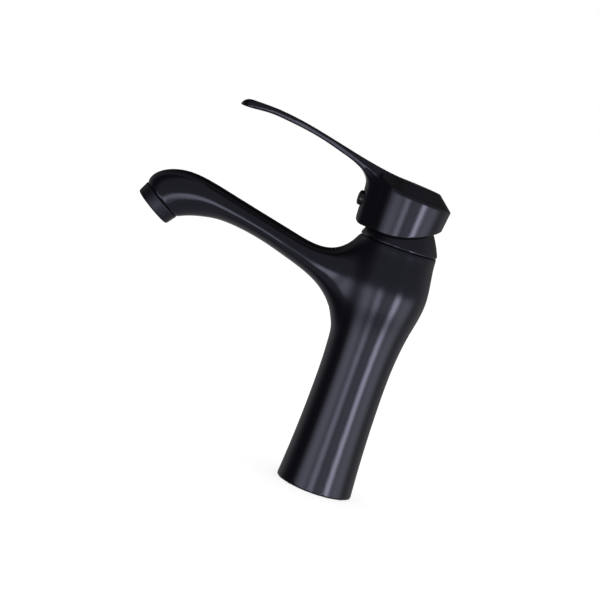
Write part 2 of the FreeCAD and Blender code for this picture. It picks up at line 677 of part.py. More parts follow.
# Rotor: a flange under the housing's roof and a slotted neck that carries the pivot pin
glide_bottom = roof_bottom - S.glide_play - S.glide_thickness
flange_bottom = glide_bottom - S.rotor_flange_height
flange_radius = housing_bore - S.stem_side_play
rotor_blank = turned("rotor_blank", [
    (ZERO, flange_bottom),
    (flange_radius, flange_bottom),
    (flange_radius, glide_bottom),
    (S.rotor_neck_radius, glide_bottom),
    (S.rotor_neck_radius, S.rotor_top),
    (ZERO, S.rotor_top),
])
slot_width = S.stem_side + S.stem_side_play * 2
slot_length = slot_width + S.slot_extra
keep("rotor_yoke", cut("rotor_with_slot", rotor_blank, [
    box("stem_slot", slot_width, slot_length, S.rotor_top - flange_bottom,
        -slot_width * 0.5, -slot_length * 0.5, flange_bottom),
    across("pin_bore", S.pin_radius, S.pin_length, S.pivot_height),
]))
keep("pivot_pin", across("pin", S.pin_radius, S.pin_length, S.pivot_height))
keep("glide_ring", ring("glide", S.rotor_neck_radius + S.fit_play, flange_radius - S.fit_play,
                        glide_bottom, S.glide_thickness))


# Stem and handle, closed: the stem leans forward over the pivot
def leaning(shape, angle, pivot):
    """Leans a shape forward about a line along X through a pivot."""
    shape.rotate(pivot, V(1, 0, 0), angle)
    return shape


PIVOT = V(0, 0, S.pivot_height.value)


def shank_form(play):
    side, length = S.stem_side.value + play * 2, S.stem_length.value + play
    hub = S.stem_side.value / 2
    shank = Part.makeBox(side, side, length + hub, PIVOT + V(-side / 2, -side / 2, -hub))
    return leaning(shank, S.stem_lean.value, PIVOT)


def stem_form():
    finger = S.finger_length.value
    post = Part.makeCylinder(S.finger_radius.value, finger, PIVOT - V(0, 0, finger))
    knob = Part.makeSphere(S.ball_radius.value, PIVOT - V(0, 0, finger))
    half = S.stem_side.value / 2
    pin_hole = Part.makeCylinder(S.pin_radius.value + S.pin_fit.value, half * 4,
                                 PIVOT - V(half * 2, 0, 0), V(1, 0, 0))
    lower = leaning(post.fuse(knob), S.stem_lean.value, PIVOT)
    return shank_form(0).fuse(lower).cut(pin_hole)


lean_slope = math.tan(lean)
screw_rise = S.screw_height - S.pivot_height
screw_tip = Size(f"({screw_rise.text} * tan({S.stem_lean.text} * 1deg) + {S.stem_side.text} * 0.5)",
                 screw_rise.value * lean_slope + S.stem_side.value / 2) - S.screw_bite
QUARTER = as_size(90)
dimple = cylinder("dimple", S.screw_radius + S.fit_play, S.stem_side, 0, -screw_tip, S.screw_height, QUARTER)
keep("cartridge_stem", cut("stem_with_dimple", free_form("stem_form", stem_form()), [dimple]))
screw_hex = S.screw_radius * 0.5
keep("set_screw", cut("screw_with_socket", cylinder(
    "screw", S.screw_radius, S.screw_length, 0, -screw_tip, S.screw_height, QUARTER),
    [cylinder("screw_socket", screw_hex, S.screw_length * 0.4, 0,
              -screw_tip - S.screw_length * 0.6, S.screw_height, QUARTER)]))


def about_cap(outline, lean_back, pivot):
    """A turned form about an upright axis through the pivot, leaned back about the pivot."""
    corners = [V(radius, 0, height) for radius, height in outline]
    form = spin([straight(a, b) for a, b in zip(corners, corners[1:] + corners[:1])])
    form.translate(V(0, pivot.y, 0))
    return leaning(form, -lean_back, pivot)


def cap_drum(radius, bottom, top):
    """A drum about the handle's leaning axis, with the radius that is given at the bonnet's rim."""
    rim, slope = S.bonnet_top.value, math.tan(math.radians(S.cap_draft.value))
    lower, upper = radius + (bottom - rim) * slope, radius + (top - rim) * slope
    outline = [(0, bottom), (lower, bottom), (upper, top), (0, top)]
    return about_cap(outline, S.cap_lean.value, at(S.cap_forward.value, rim))


def cap_form():
    """The handle's round part: a drum that leans back, with a wide bevel around its top."""
    edge, wide, high = S.cap_edge_height.value, S.cap_bevel_width.value, S.cap_bevel_height.value
    bottom, top = S.ridge_height.value, edge + high
    slope = math.tan(math.radians(S.cap_draft.value))
    radius = S.cap_radius.value + (edge - S.bonnet_top.value) * slope
    bevel = [(0, bottom), (radius + wide, bottom), (radius + wide, edge - high),
             (radius - wide, top), (0, top)]
    rise = edge - S.bonnet_top.value
    pivot = at(S.cap_forward.value - rise * math.tan(math.radians(S.cap_lean.value)), edge)
    drum = cap_drum(S.cap_radius.value, bottom, top * 1.1)
    return drum.common(about_cap(bevel, S.bevel_lean.value, pivot))


def side_plate(outline, half_width):
    """A plate whose outline is drawn from the side, centred on the middle plane."""
    plate = push(outline, V(half_width * 2, 0, 0))
    plate.translate(V(-half_width, 0, 0))
    return plate


# Stations of the lever. In the neck, the place is a share of the nose's reach, the crest a share of the
# lever's half width, edge and belly go from there to the round part's radius, and fall and depth are
# shares of the drop from the lever's root to the round part's edge.
NECK_STATIONS = [
    # place, crest, edge, belly, fall of the edge, depth of the belly
    (0.10, 1.30, 0.93, 0.76, 0.96, 1.58),
    (0.33, 1.11, 0.96, 0.80, 1.00, 1.58),
    (0.50, 1.02, 0.84, 0.69, 0.87, 1.58),
    (0.62, 0.97, 0.655, 0.475, 0.80, 1.63),
    (0.73, 0.92, 0.42, 0.22, 0.70, 1.66),
    (0.86, 0.87, 0.175, -0.04, 0.62, 1.66),
    (1.00, 0.83, 0.055, -0.20, 0.51, 1.38),
]
# Beyond the nose, the place is a share of the run to the tip, the half widths are shares of the lever's
# own, and the heights are shares of its thickness.
BLADE_STATIONS = [
    # place, crest, edge, belly, sink of the crest, fall of the edge, depth of the belly
    (0.040, 0.81, 1.03, 0.89, 0.0, 0.89, 2.03),
    (0.087, 0.80, 1.01, 0.92, 0.0, 0.67, 1.58),
    (0.147, 0.80, 1.00, 0.93, 0.0, 0.42, 1.30),
    (0.23, 0.80, 1.00, 0.93, 0.0, 0.25, 1.15),
    (0.35, 0.79, 0.98, 0.92, 0.0, 0.17, 1.00),
    (0.53, 0.77, 0.95, 0.89, 0.0, 0.16, 1.00),
    (0.65, 0.74, 0.93, 0.87, 0.0, 0.28, 1.06),
    (0.77, 0.70, 0.90, 0.84, 0.0, 0.42, 1.06),
    (0.864, 0.66, 0.87, 0.81, 0.0, 0.61, 1.19),
    (0.924, 0.60, 0.86, 0.80, 0.0, 0.80, 1.31),
    (0.962, 0.55, 0.86, 0.80, 0.14, 0.86, 1.33),
    (0.985, 0.50, 0.86, 0.80, 0.50, 0.95, 1.33),
    (1.0, 0.46, 0.86, 0.80, 0.97, 1.12, 1.33),
]


def blade_form():
    """The lever: one hull from the round part's roof to the tip, with sides that lean in below its edge."""
    root, tip = S.blade_root_height.value, S.blade_tip_height.value
    reach, nose = S.blade_tip_reach.value, S.nose_reach.value
    wide, narrow, thick = S.blade_half_width.value, S.blade_tip_half_width.value, S.blade_thickness.value
    level_from = reach * 0.88
    round_part, drop = S.cap_radius.value, root - S.cap_edge_height.value
    places = [(nose * place, crest * wide, between(wide, round_part, edge), between(wide, round_part, belly),
               0.0, fall * drop, depth * drop)
              for place, crest, edge, belly, fall, depth in NECK_STATIONS]
    places += [(between(nose, reach, place), crest * wide, edge * wide, belly * wide,
                sink * thick, fall * thick, depth * thick)
               for place, crest, edge, belly, sink, fall, depth in BLADE_STATIONS]
    hulls = []
    for forward, crest, edge, belly, sink, fall, depth in places:
        share = min(forward / level_from, 1.0)
        top = between(root, tip, share * share * (3 - 2 * share))
        right = [at(forward, top - sink, crest), at(forward, top - fall, edge),
                 at(forward, top - depth, belly)]
        left = [V(-p.x, p.y, p.z) for p in reversed(right)]
        hulls.append(Part.makePolygon([*right, *left, right[0]]))
    hull = outward(Part.makeLoft(hulls, True, False))
    shoulder = reach - narrow * 1.1
    left = [at(0, 0, -wide * 3), at(nose * 2, 0, -wide * 1.2), at(shoulder, 0, -narrow)]
    right = [V(-p.x, p.y, p.z) for p in reversed(left)]
    plan = [straight(a, b) for a, b in zip(left, left[1:])]
    plan.append(Part.Arc(left[-1], at(reach, 0), right[0]).toShape())
    plan += [straight(a, b) for a, b in zip(right, right[1:])]
    plan.append(straight(right[-1], left[0]))
    return hull.common(push(plan, V(0, 0, tip * 1.2)))


def nose_form():
    """The handle's nose: a rounded front whose flanks run back straight, to touch the round part's foot."""
    reach, front = S.nose_reach.value, S.nose_front_radius.value
    fall = S.cap_edge_height.value - S.skirt_front_height.value
    rise = S.bonnet_top.value - S.skirt_front_height.value
    drum = S.cap_radius.value - rise * math.tan(math.radians(S.cap_draft.value))
    axis = (S.cap_forward.value + rise * math.tan(math.radians(S.cap_lean.value))
            + fall * math.tan(math.radians(S.nose_lean.value)))
    middle = reach - front
    turn = math.acos((drum - front) / (middle - axis))
    touch = at(middle + front * math.cos(turn), 0, front * math.sin(turn))
    end = at(axis + drum * math.cos(turn), 0, drum * math.sin(turn))
    right = [touch, end, V(end.x, 0, 0)]
    left = [V(-p.x, p.y, p.z) for p in reversed(right)]
    plan = [straight(a, b) for a, b in zip([*right, *left], [*right[1:], *left])]
    plan.append(Part.Arc(left[-1], at(reach, 0), right[0]).toShape())
    top = S.cap_edge_height.value + S.nose_rise.value
    return leaning(push(plan, V(0, 0, top)), S.nose_lean.value, at(reach, S.cap_edge_height.value))


def below_skirt():
    """All that is cut away below the skirt's lower edge, which rises towards the back."""
    front, back = S.skirt_front_height.value, S.skirt_back_height.value
    far = S.nose_reach.value * 1.5
    level = S.cap_radius.value / 2
    bend = Part.BezierCurve()
    end = at(-far, back + far - S.cap_radius.value)
    bend.setPoles([at(level, front), at(0, front), at(-S.cap_radius.value, back), end])
    drop = S.cap_edge_height.value - front
    nose = S.nose_reach.value - drop * math.tan(math.radians(S.nose_lean.value))
    corner = S.nose_corner.value
    knee = corner * (1 - math.sqrt(0.5))
    corner_top, corner_end = at(nose, front + corner), at(nose - corner, front)
    outline = [straight(at(far, front + corner), corner_top),
               Part.Arc(corner_top, at(nose - knee, front + knee), corner_end).toShape(),
               straight(corner_end, at(level, front)), bend.toShape(), straight(end, at(-far, 0)),
               straight(at(-far, 0), at(far, 0)), straight(at(far, 0), at(far, front + corner))]
    return side_plate(outline, far)


handle_outer = fuse("handle_outer", [
    free_form("cap", cap_form()),
    free_form("blade", blade_form()),
    free_form("nose", nose_form()),
])


def handle_hollow():
    """The hollow that lets the handle tilt over the bonnet: low in front, higher behind the stem."""
    radius, bottom = S.cap_radius.value - S.skirt_wall.value, S.ridge_height.value
    drum = cap_drum(radius, bottom, S.cap_edge_height.value)
    low = Part.makeBox(radius * 4, radius * 4, S.handle_roof_front.value, V(-radius * 2, -radius * 2, 0))
    narrow = cap_drum(radius - S.skirt_wall.value * 2, bottom, S.cap_edge_height.value)
    high = Part.makeBox(radius * 2, radius * 2, S.handle_roof_back.value,
                        V(-radius, -S.roof_step_forward.value, 0))
    return drum.common(low).fuse(narrow.common(high))


keep("lever_handle", cut("handle", handle_outer, [
    free_form("below_skirt", below_skirt()),
    free_form("hollow", handle_hollow()),
    free_form("stem_socket", shank_form(S.fit_play.value)),
    cylinder("screw_hole", S.screw_radius + S.fit_play, S.nose_reach, 0, 0, S.screw_height, QUARTER),
    cylinder("plug_recess", S.plug_radius + S.fit_play, S.nose_reach, 0, -(S.nose_reach - S.plug_depth),
             S.screw_height, QUARTER),
]))


def plug_form():
    """The index plug: a round shank with a crowned face."""
    radius, crown = S.plug_radius.value, S.plug_crown.value
    depth = S.plug_depth.value - S.fit_play.value
    edge = V(radius, 0, depth)
    shoulder = V(radius * 0.8, 0, depth + crown * 0.75)
    crown_line = curve([edge, shoulder, V(0, 0, depth + crown)], V(0, 0, 1), V(-1, 0, 0))
    outline = [straight(V(0, 0, 0), V(radius, 0, 0)), straight(V(radius, 0, 0), edge), crown_line,
               straight(V(0, 0, depth + crown), V(0, 0, 0))]
    return spin(outline)


plug = free_form("plug", plug_form())
keep("index_plug", place(plug, 0, -(S.nose_reach - S.plug_depth + S.fit_play), S.screw_height, QUARTER))


# Aerator, in the frame of the mouth
def collar_form():
    """The visible collar with a rounded lower edge, and the threaded neck above it."""
    mouth, end = S.mouth_radius.value, S.collar_end_radius.value
    height, bend = S.collar_height.value, S.collar_edge_round.value
    thread, neck = S.aerator_thread_radius.value, S.aerator_thread_length.value
    bore, lip, bevel = S.aerator_bore_radius.value, S.aerator_lip.value, S.seam_groove.value
    knee = bend * (1 - math.sqrt(0.5))
    corners = [V(end - bend, 0, -height), V(bore - lip, 0, -height), V(bore - lip, 0, lip - height),
               V(bore, 0, lip - height), V(bore, 0, neck), V(thread, 0, neck), V(thread, 0, 0),
               V(mouth - bevel, 0, 0), V(mouth, 0, -bevel), V(end, 0, bend - height)]
    edges = [straight(a, b) for a, b in zip(corners, corners[1:])]
    edges.append(Part.Arc(corners[-1], V(end - knee, 0, knee - height), corners[0]).toShape())
    return spin(edges)


keep("aerator_housing", place(free_form("collar", collar_form()), 0, **MOUTH))
screen_bottom = S.aerator_lip - S.collar_height
screen_radius = S.aerator_bore_radius - S.fit_play
screen_disc = Part.makeCylinder(screen_radius.value, S.screen_thickness.value, V(0, 0, screen_bottom.value))
holes = [V(0, 0, 0)]
ring_count = int((S.aerator_bore_radius.value - S.aerator_lip.value) / S.screen_hole_pitch.value)
for row in range(1, ring_count + 1):
    for step in range(6 * row):
        angle = 2 * math.pi * step / (6 * row)
        reach = row * S.screen_hole_pitch.value - S.screen_hole_radius.value * 0.3
        holes.append(V(reach * math.cos(angle), reach * math.sin(angle), 0))
drill = [Part.makeCylinder(S.screen_hole_radius.value, S.screen_thickness.value * 3,
                           hole + V(0, 0, screen_bottom.value - S.screen_thickness.value)) for hole in holes]
keep("aerator_screen", place(free_form("screen", screen_disc.cut(Part.makeCompound(drill))), 0, **MOUTH))
core_bottom = screen_bottom + S.screen_thickness
core_top = S.aerator_thread_length - S.fit_play
keep("aerator_core", turned("core", [
    (S.aerator_bore_radius * 0.5, core_bottom),
    (screen_radius, core_bottom),
    (screen_radius, core_top),
    (S.aerator_bore_radius * 0.7, core_top),
    (S.aerator_bore_radius * 0.7, core_top - S.screen_thickness),
    (S.aerator_bore_radius * 0.5, core_top - S.screen_thickness * 2),
], **MOUTH))
keep("aerator_washer", ring("washer", S.mouth_chamber_radius + S.fit_play, S.aerator_thread_radius,
                            S.aerator_thread_length, S.washer_thickness, **MOUTH))

doc.recompute()
for item in doc.Objects:
    for word in ("Invalid", "Error"):
        if word in item.State:
            raise RuntimeError(f"{item.Name} failed: {item.State}")
for label, item in PARTS.items():
    if item.Shape.isNull() or not item.Shape.isValid() or not item.Shape.Solids:
        raise RuntimeError(f"{label} has no sound solid")

os.makedirs("parts", exist_ok=True)
for label, item in PARTS.items():
    item.Shape.exportStep(f"parts/{label}.step")
    print(label, len(item.Shape.Solids), round(item.Shape.Volume, 1))
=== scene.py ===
"""Looks of a satin black single-lever basin mixer, dressed on its CAD frame.

Metres, in the frame of the CAD model: the base stands on the floor at the origin, +Z is up and the spout
points along -Y. Sizes that belong to the finish are written in millimetres and turned to metres once.
"""

import math

import bmesh
import bpy
import numpy as np
from mathutils import Matrix, Vector


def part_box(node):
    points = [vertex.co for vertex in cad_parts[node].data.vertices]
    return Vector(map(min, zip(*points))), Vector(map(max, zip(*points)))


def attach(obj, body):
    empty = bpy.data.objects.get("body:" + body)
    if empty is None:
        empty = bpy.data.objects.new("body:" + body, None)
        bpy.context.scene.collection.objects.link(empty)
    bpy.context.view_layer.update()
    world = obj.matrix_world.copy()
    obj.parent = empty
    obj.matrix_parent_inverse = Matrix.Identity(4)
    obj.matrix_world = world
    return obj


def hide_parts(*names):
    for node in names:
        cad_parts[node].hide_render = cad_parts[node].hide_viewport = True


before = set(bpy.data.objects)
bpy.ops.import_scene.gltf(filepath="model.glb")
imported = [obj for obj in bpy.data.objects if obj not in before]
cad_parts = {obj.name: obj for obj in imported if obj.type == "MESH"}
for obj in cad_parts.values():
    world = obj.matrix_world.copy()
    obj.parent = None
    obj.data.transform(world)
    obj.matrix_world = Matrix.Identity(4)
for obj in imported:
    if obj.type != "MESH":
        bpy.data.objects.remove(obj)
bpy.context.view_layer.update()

bl_info = {
    "name": "Basin mixer faucet",
    "version": (1, 0, 0),
    "blender": (4, 5, 0),
    "location": "3D View > Sidebar > Faucet",
    "description": "Dresses the CAD frame of a single-lever basin mixer with its finishes and a small studio",
    "category": "Object",
}

MM = 0.001
PHOTO_SIDE = 600
SENSOR_WIDTH = 36.0
FLOOR_HALF = 4.0

# Sockets of the Mix node when it mixes colours
MIX_SHARE, MIX_FIRST, MIX_SECOND, MIX_RESULT = 0, 6, 7, 2

# Noise stays mostly between these values
NOISE_LOW, NOISE_HIGH = 0.3, 0.7

# A wave texture of scale 1 repeats about this often in one unit
WAVES_PER_UNIT = 3

# How often a skin is eased: all over, and then where a soft blend is wanted
CASTING_PASSES, HANDLE_PASSES, SMALL_PASSES = 6, 8, 4
ROOT_PASSES, NOSE_PASSES, RIM_PASSES = 260, 120, 60

# How far a point goes towards its neighbours' middle in one pass
EASE_STEP = 0.5

# A blend fades out over one reach, and is gone at this many reaches from where it starts
BLEND_SPREAD = 1.4

# The blend of spout and head lies ahead of the column by this many radii of the cartridge's base
ROOT_AHEAD = 1.25

# Points of the CAD mesh nearer than this are one point
WELD_REACH = 0.005 * MM

# Size of the floor's faint patches
FLOOR_PATCH = 40 * MM


def linear(hex_colour):
    """Turns an sRGB hex colour into linear red, green, blue and alpha."""
    parts = [int(hex_colour[place:place + 2], 16) / 255 for place in (1, 3, 5)]
    return [c / 12.92 if c <= 0.04045 else ((c + 0.055) / 1.055) ** 2.4 for c in parts] + [1.0]


def length_setting(name, description, millimetres):
    """A size that a user may change."""
    return bpy.props.FloatProperty(
        name=name, description=description, default=millimetres * MM, unit="LENGTH", precision=5)


def colour_setting(name, description, hex_colour):
    """A colour that a user may change."""
    return bpy.props.FloatVectorProperty(
        name=name, description=description, default=linear(hex_colour), size=4, min=0.0, max=1.0,
        subtype="COLOR")


def angle_setting(name, description, degrees):
    """An angle that a user may change."""
    return bpy.props.FloatProperty(
        name=name, description=description, default=math.radians(degrees), subtype="ANGLE")


def level_setting(name, description, level):
    """A brightness, where 1 is white."""
    return bpy.props.FloatProperty(name=name, description=description, default=level, min=0.0)


class FaucetSizes(bpy.types.PropertyGroup):
    """Sizes of the finish: how finely the skins are meshed and how far their edges are eased."""

    casting_cell: length_setting("Casting cell", "Cell size of the casting's skin", 0.7)
    handle_cell: length_setting("Handle cell", "Cell size of the handle's skin", 0.4)
    small_cell: length_setting("Small cell", "Cell size of the skins of the small turned pieces", 0.25)
    root_blend: length_setting("Root blend", "Reach of the soft blend between spout and head", 34.0)
    nose_blend: length_setting("Nose blend", "Reach of the soft blend between lever and nose", 5.0)
    plug_guard: length_setting("Plug guard", "Distance from the plug over which that blend fades out", 1.5)
    rim_blend: length_setting("Rim blend", "Reach of the rounding of the bonnet's lower rim", 1.6)
    seam_guard: length_setting("Seam guard", "Distance from a seam over which the blend fades out", 7.0)
    peel: length_setting("Peel", "Length of the faint waves that spraying leaves in the coat", 2.2)
    grit: length_setting("Grit", "Size of the coat's satin grain, as it is drawn", 0.3)
    cloud: length_setting("Cloud", "Size of the patches where the coat lies thinner", 24.0)
    flow_mark: length_setting("Flow mark", "Length of the marks that flowing plastic leaves", 4.0)
    mould_grain: length_setting("Mould grain", "Size of the dry grain on moulded and pressed pieces", 0.35)
    lathe_pitch: length_setting("Lathe pitch", "Distance between the rings that a lathe leaves", 0.6)


class FaucetColours(bpy.types.PropertyGroup):
    """Colours of the finishes, each with a second tone for its patches."""

    coat: colour_setting("Coat", "Satin black coat", "#0e0e12")
    coat_thin: colour_setting("Thin coat", "Satin black coat where it lies thinner", "#121218")
    sheen: colour_setting("Sheen", "Cool tint of the coat's gloss", "#dfe2ff")
    plug: colour_setting("Plug", "Gloss black plastic of the index plug", "#0a0a0c")
    plug_mark: colour_setting("Plug mark", "Flow marks in the gloss black plastic", "#121216")
    rubber: colour_setting("Rubber", "Nitrile rubber", "#1c1c1c")
    rubber_bloom: colour_setting("Rubber bloom", "Paler bloom on nitrile rubber", "#262626")
    acetal: colour_setting("Acetal", "White moulded acetal", "#e6e3da")
    acetal_warm: colour_setting("Warm acetal", "Warmer patches of the acetal", "#dedacf")
    nylon: colour_setting("Nylon", "Grey glass-filled nylon", "#8c8f93")
    nylon_dark: colour_setting("Dark nylon", "Darker patches of the nylon", "#7d8085")
    alumina: colour_setting("Alumina", "Lapped alumina ceramic", "#f1eee6")
    alumina_warm: colour_setting("Warm alumina", "Warmer patches of the alumina", "#e6e2d8")
    brass: colour_setting("Brass", "Turned brass", "#c9a45c")
    brass_dull: colour_setting("Dull brass", "Brass where it has begun to dull", "#b8924c")
    steel: colour_setting("Steel", "Stainless steel", "#b9babd")
    steel_dark: colour_setting("Dark steel", "Darker patches of the stainless steel", "#a6a8ac")


class FaucetStudio(bpy.types.PropertyGroup):
    """Camera, lamps, floor and backdrop. Bearings are turns from the camera's side towards the back."""

    aim_forward: length_setting("Aim forward", "Place in front of the column that the camera looks at", 44.36)
    aim_height: length_setting("Aim height", "Height that the camera looks at", 103.05)
    camera_reach: length_setting("Camera reach", "Level distance from there to the camera", 1000.0)
    camera_height: length_setting("Camera height", "Height of the camera", 223.0)
    camera_bearing: angle_setting("Camera bearing", "Turn of the camera from +X towards the back", -4.0)
    camera_roll: angle_setting("Camera roll", "Clockwise turn of the picture", 19.29)
    focal_pixels: bpy.props.FloatProperty(
        name="Focal length", description="Focal length in pixels of the photograph", default=1709.2)
    lamp_reach: length_setting("Lamp reach", "Distance of the lamps from the column", 900.0)
    lamp_top: length_setting("Lamp top", "Height of the lamps' upper edge", 150.0)
    lamp_bottom: length_setting("Lamp bottom", "Height of the lamps' lower edge", -400.0)
    front_bearing: angle_setting("Front bearing", "Bearing of the front softbox", -38.0)
    front_width: angle_setting("Front width", "Width of the front softbox, seen from the column", 62.0)
    front_level: level_setting("Front level", "Brightness of the front softbox", 2.0)
    near_bearing: angle_setting("Near bearing", "Bearing of the softbox beside the camera", -8.0)
    near_width: angle_setting("Near width", "Width of the softbox beside the camera", 28.0)
    near_level: level_setting("Near level", "Brightness of the softbox beside the camera", 3.6)
    screen_bearing: angle_setting("Screen bearing", "Bearing of the dim screen behind the camera", 16.0)
    screen_width: angle_setting("Screen width", "Width of the dim screen behind the camera", 44.0)
    screen_level: level_setting("Screen level", "Brightness of the dim screen behind the camera", 0.85)
    strip_bearing: angle_setting("Strip bearing", "Bearing of the narrow strip", 40.0)
    strip_width: angle_setting("Strip width", "Width of the narrow strip", 26.0)
    strip_level: level_setting("Strip level", "Brightness of the narrow strip", 8.0)
    board_bearing: angle_setting("Board bearing", "Bearing of the pale board at the back", 68.0)
    board_width: angle_setting("Board width", "Width of the pale board at the back", 66.0)
    board_level: level_setting("Board level", "Brightness of the pale board at the back", 1.6)
    far_bearing: angle_setting("Far bearing", "Bearing of the softbox away from the camera", 180.0)
    far_width: angle_setting("Far width", "Width of the softbox on the side away from the camera", 30.0)
    far_level: level_setting("Far level", "Brightness of the softbox away from the camera", 1.5)
    lamp_feather: bpy.props.FloatVectorProperty(
        name="Lamp feather", description="Shares of a lamp's width and height over which its edges fade",
        default=(0.5, 0.26), size=2, min=0.01, max=0.5)
    fill: level_setting("Fill", "Even light from all around", 0.4)
    gloss_fill: level_setting("Gloss fill", "How much of the dim room shows in gloss", 0.3)
    dark_bearing: angle_setting("Dark bearing", "Bearing of the room's dark front opening", -82.0)
    dark_core: angle_setting("Dark core", "Turn from there within which the room is black", 8.0)
    dark_edge: angle_setting("Dark edge", "Turn from there beyond which the room is pale", 42.0)
    rear_rise: angle_setting("Rear rise", "Height of the dark rear opening, opposite the camera", 34.0)
    rear_core: angle_setting("Rear core", "Angle around its middle within which the room is black", 8.0)
    rear_edge: angle_setting("Rear edge", "Angle around its middle beyond which the room is pale", 62.0)
    floor_lift: level_setting("Floor lift", "Whitening of the floor as the camera sees it", 0.7)
    floor: colour_setting("Floor", "Pale floor", "#f2f2f2")
    floor_patch: colour_setting("Floor patch", "Paler patches of the floor", "#f6f6f6")
    backdrop: colour_setting("Backdrop", "White backdrop", "#ffffff")


def add_node(tree, kind, inputs=None, **settings):
    """Adds a node with its settings; each input takes a constant or a link from another node's output."""
    node = tree.nodes.new(kind)
    for name, value in settings.items():
        setattr(node, name, value)
    for socket, value in (inputs or {}).items():
        if isinstance(value, bpy.types.NodeSocket):
            tree.links.new(value, node.inputs[socket])
        else:
            node.inputs[socket].default_value = value
    return node


def new_material(name):
    """A material with an empty node tree, and its place in object space."""
    material = bpy.data.materials.new(name)
    material.use_nodes = True
    tree = material.node_tree
    tree.nodes.clear()
    place = add_node(tree, "ShaderNodeTexCoord").outputs["Object"]
    return material, tree, place


def satin_black_lacquer(name, context, smoothest, roughest):
    """Sprayed and baked satin lacquer over metal.

    The eye sees a near-black with a cool tint and long soft streaks, whose edges waver a little where the
    spray left waves. The real satin grain is finer than the picture shows, so it is drawn coarser here.
    """
    sizes, colours = context.scene.faucet_sizes, context.scene.faucet_colours
    material, tree, place = new_material(name)
    cloud = add_node(tree, "ShaderNodeTexNoise", {"Vector": place, "Scale": 1 / sizes.cloud, "Detail": 2.0})
    peel = add_node(tree, "ShaderNodeTexNoise", {"Vector": place, "Scale": 1 / sizes.peel, "Detail": 1.0})
    grit = add_node(tree, "ShaderNodeTexNoise", {"Vector": place, "Scale": 1 / sizes.grit, "Detail": 2.0})
    colour = add_node(tree, "ShaderNodeMix", {
        MIX_SHARE: cloud.outputs["Fac"], MIX_FIRST: colours.coat, MIX_SECOND: colours.coat_thin},
        data_type="RGBA")
    roughness = add_node(tree, "ShaderNodeMapRange", {
        "Value": grit.outputs["Fac"], "From Min": NOISE_LOW, "From Max": NOISE_HIGH,
        "To Min": smoothest, "To Max": roughest})
    waves = add_node(tree, "ShaderNodeBump", {
        "Height": peel.outputs["Fac"], "Strength": 0.1, "Distance": 0.02 * MM})
    grain = add_node(tree, "ShaderNodeBump", {
        "Height": grit.outputs["Fac"], "Normal": waves.outputs["Normal"], "Strength": 0.1,
        "Distance": 0.01 * MM})
    shader = add_node(tree, "ShaderNodeBsdfPrincipled", {
        "Base Color": colour.outputs[MIX_RESULT], "Roughness": roughness.outputs["Result"],
        "Normal": grain.outputs["Normal"], "IOR": 1.5, "Specular Tint": colours.sheen})
    add_node(tree, "ShaderNodeOutputMaterial", {"Surface": shader.outputs["BSDF"]})
    return material


def gloss_moulded_abs(context):
    """ABS from a polished mould: deep black with small sharp highlights and a trace of flow marks."""
    sizes, colours = context.scene.faucet_sizes, context.scene.faucet_colours
    material, tree, place = new_material("gloss_black_moulded_abs")
    flow = add_node(tree, "ShaderNodeTexNoise", {
        "Vector": place, "Scale": 1 / sizes.flow_mark, "Detail": 1.0, "Distortion": 0.8})
    colour = add_node(tree, "ShaderNodeMix", {
        MIX_SHARE: flow.outputs["Fac"], MIX_FIRST: colours.plug, MIX_SECOND: colours.plug_mark},
        data_type="RGBA")
    roughness = add_node(tree, "ShaderNodeMapRange", {
        "Value": flow.outputs["Fac"], "From Min": NOISE_LOW, "From Max": NOISE_HIGH,
        "To Min": 0.1, "To Max": 0.18})
    marks = add_node(tree, "ShaderNodeBump", {
        "Height": flow.outputs["Fac"], "Strength": 0.05, "Distance": 0.02 * MM})
    shader = add_node(tree, "ShaderNodeBsdfPrincipled", {
        "Base Color": colour.outputs[MIX_RESULT], "Roughness": roughness.outputs["Result"],
        "Normal": marks.outputs["Normal"], "IOR": 1.53})
    add_node(tree, "ShaderNodeOutputMaterial", {"Surface": shader.outputs["BSDF"]})
    return material


def matt_moulding(name, context, tone, other_tone, smoothest, roughest, ior):
    """A moulded, pressed or lapped piece: an even tone in faint patches, under a fine dry grain."""
    sizes = context.scene.faucet_sizes
    material, tree, place = new_material(name)
    cloud = add_node(tree, "ShaderNodeTexNoise", {
        "Vector": place, "Scale": 1 / sizes.flow_mark, "Detail": 2.0})
    dry = add_node(tree, "ShaderNodeTexNoise", {
        "Vector": place, "Scale": 1 / sizes.mould_grain, "Detail": 3.0})
    colour = add_node(tree, "ShaderNodeMix", {
        MIX_SHARE: cloud.outputs["Fac"], MIX_FIRST: tone, MIX_SECOND: other_tone}, data_type="RGBA")
    roughness = add_node(tree, "ShaderNodeMapRange", {
        "Value": dry.outputs["Fac"], "From Min": NOISE_LOW, "From Max": NOISE_HIGH,
        "To Min": smoothest, "To Max": roughest})
    grain = add_node(tree, "ShaderNodeBump", {
        "Height": dry.outputs["Fac"], "Strength": 0.2, "Distance": 0.02 * MM})
    shader = add_node(tree, "ShaderNodeBsdfPrincipled", {
        "Base Color": colour.outputs[MIX_RESULT], "Roughness": roughness.outputs["Result"],
        "Normal": grain.outputs["Normal"], "IOR": ior})
    add_node(tree, "ShaderNodeOutputMaterial", {"Surface": shader.outputs["BSDF"]})
    return material


